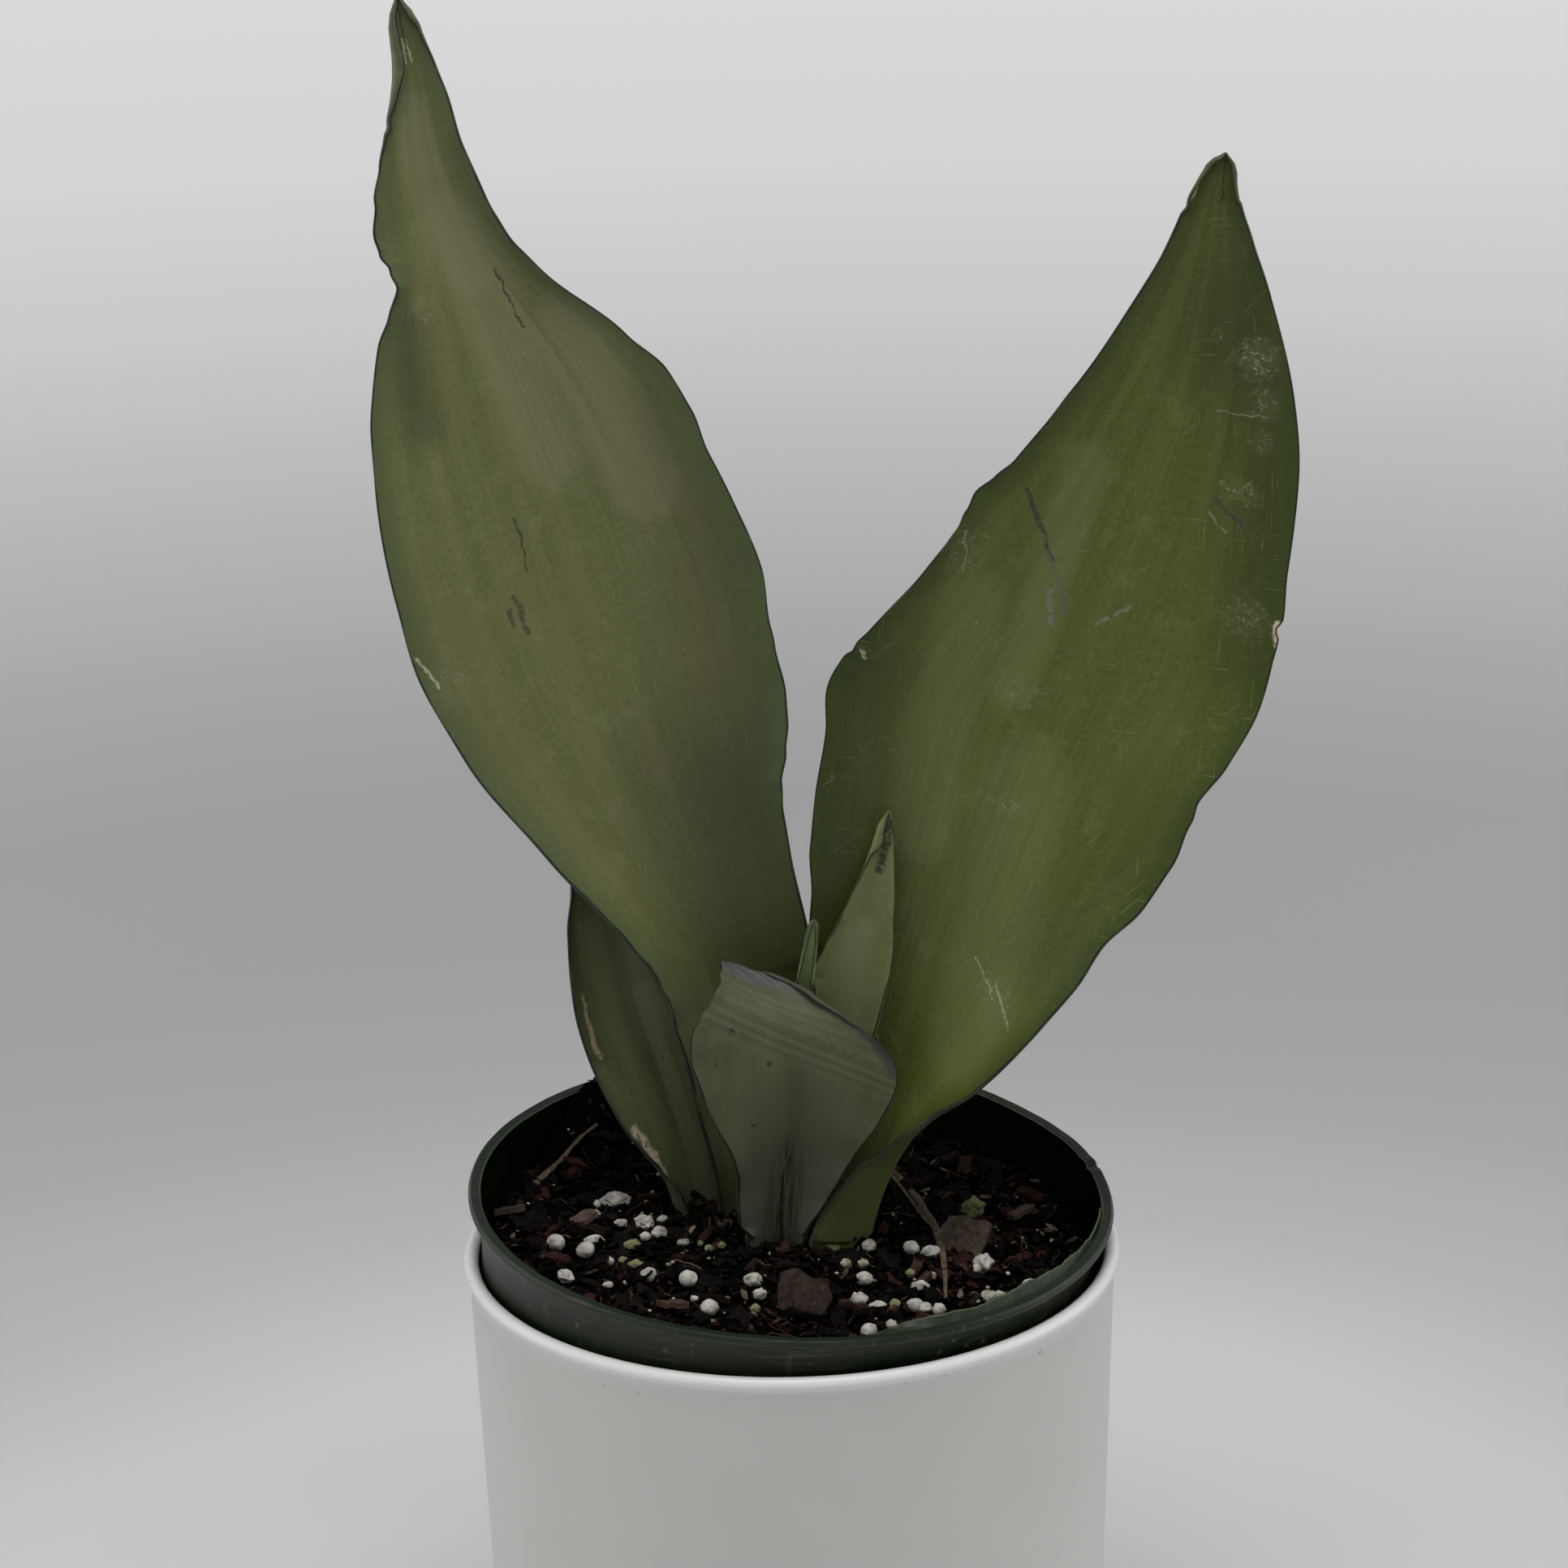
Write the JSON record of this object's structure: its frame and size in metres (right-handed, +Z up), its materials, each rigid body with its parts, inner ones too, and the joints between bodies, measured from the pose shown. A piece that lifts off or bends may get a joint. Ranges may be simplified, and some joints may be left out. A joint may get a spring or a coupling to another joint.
{
  "type": "potted snake plant",
  "caption": "Small snake plant with broad silvery-green leaves in a thin plastic nursery pot, standing inside a smooth white cylindrical cover pot.",
  "frame": {"origin": "centre of the cover pot's flat underside", "axes": "+Z up out of the pot, -Y towards the front, where the leaves' inner faces show"},
  "size_m": [0.2118, 0.155, 0.4195],
  "materials": {
    "cover_coating": "satin white powder coat",
    "nursery_plastic": "thin dark green plastic, slightly scuffed",
    "mix": "dark loose bark and peat mix",
    "rhizome_skin": "pale fibrous skin",
    "leaf_tall": "waxy, faint lengthwise streaks, thin dark margin",
    "leaf_short": "matt waxy bloom, thin dark margin",
    "leaf_young": "smooth waxy",
    "bark": "rough dry bark",
    "straw": "dry fibre",
    "perlite": "matt expanded grains"
  },
  "bodies": {
    "root": {"cover_pot": "cover_coating", "nursery_pot": "nursery_plastic", "potting_mix": "mix", "rhizome": "rhizome_skin", "leaf_left_tall": "leaf_tall", "leaf_right_tall": "leaf_tall", "leaf_front_short": "leaf_short", "leaf_left_low": "leaf_short", "leaf_centre_young": "leaf_young", "leaf_centre_spear": "leaf_young", "bark_plate": "bark", "bark_block": "bark", "bark_dark": "bark", "bark_reddish": "bark", "bark_brown": "bark", "bark_stick": "bark", "straw_long": "straw", "root_fibre": "straw", "perlite_01": "perlite", "perlite_02": "perlite", "perlite_03": "perlite", "perlite_04": "perlite", "perlite_05": "perlite", "perlite_06": "perlite", "perlite_07": "perlite", "perlite_08": "perlite", "perlite_09": "perlite", "perlite_10": "perlite", "perlite_11": "perlite", "perlite_12": "perlite", "perlite_13": "perlite", "perlite_14": "perlite", "perlite_15": "perlite", "perlite_16": "perlite", "perlite_17": "perlite", "perlite_18": "perlite", "perlite_19": "perlite", "perlite_20": "perlite"}
  },
  "joints": []
}
